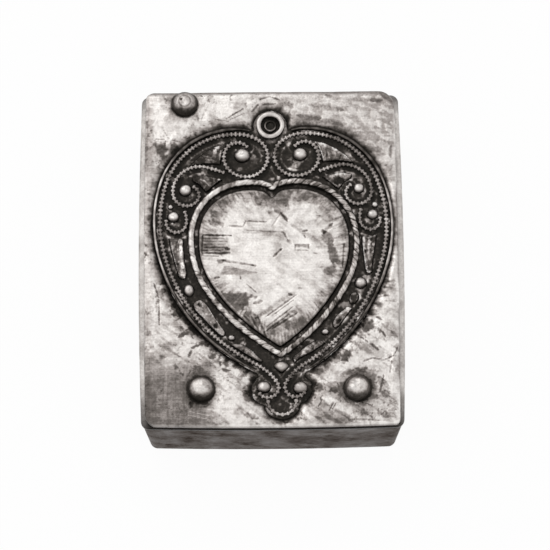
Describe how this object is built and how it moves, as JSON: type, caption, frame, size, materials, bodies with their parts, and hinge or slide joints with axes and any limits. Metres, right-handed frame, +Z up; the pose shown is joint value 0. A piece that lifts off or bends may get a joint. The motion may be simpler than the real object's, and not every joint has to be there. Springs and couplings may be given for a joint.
{
  "type": "rectangular metal trinket box with hinged lid",
  "caption": "Small heavy rectangular metal trinket box; a hinged lid with a heart of beaded wire scrolls, a roped border and domed studs opens on a padded velvet interior.",
  "frame": {"origin": "middle of the box's footprint on the surface it stands on", "axes": "+Z up; -Y is the front, +Y the hinge side; +X to the right seen from the front"},
  "size_m": [0.06, 0.0794, 0.0283],
  "materials": {
    "bright_metal": "antiqued white metal, hand brushed bright on the high spots with grey mottling",
    "dark_metal": "smooth grey patinated cast metal",
    "blackened_metal": "blackened recesses with rubbed high spots",
    "hinge_metal": "satin rolled sheet and wire",
    "velvet": "short pile velvet over a pad",
    "felt": "pressed wool felt"
  },
  "bodies": {
    "box": {"base_felt": "felt", "base_plate": "dark_metal", "body_hinge_leaf": "hinge_metal", "body_hinge_rivets": "hinge_metal", "body_wall": "dark_metal", "hinge_pin": "hinge_metal", "lining_pad": "velvet", "rim_frame": "dark_metal", "wall_lining": "velvet"},
    "lid": {"border_wire_left": "bright_metal", "border_wire_right": "bright_metal", "bottom_loop": "bright_metal", "filler_bars_left": "blackened_metal", "filler_bars_right": "blackened_metal", "foot_drop": "bright_metal", "heart_backplate": "blackened_metal", "heart_panel": "bright_metal", "leaf_fillers_left": "blackened_metal", "leaf_fillers_right": "blackened_metal", "lid_hinge_leaf": "hinge_metal", "lid_hinge_rivets": "hinge_metal", "lid_pad": "velvet", "lid_plate": "bright_metal", "locating_frame": "hinge_metal", "outer_scroll_left": "bright_metal", "outer_scroll_right": "bright_metal", "ring_eyelet": "bright_metal", "rope_bezel": "bright_metal", "scroll_beads": "bright_metal", "side_scroll_left": "bright_metal", "side_scroll_right": "bright_metal", "small_scroll_left": "bright_metal", "small_scroll_right": "bright_metal", "stud_back_left": "bright_metal", "stud_front_left": "bright_metal", "stud_front_right": "bright_metal", "suspension_ring": "bright_metal"}
  },
  "joints": [
    {"name": "lid_hinge", "type": "hinge", "parent": "box", "child": "lid", "pos_m": [0, 0.03845, 0.0219], "axis": [-1, 0, 0], "range_deg": [0, 105]}
  ]
}
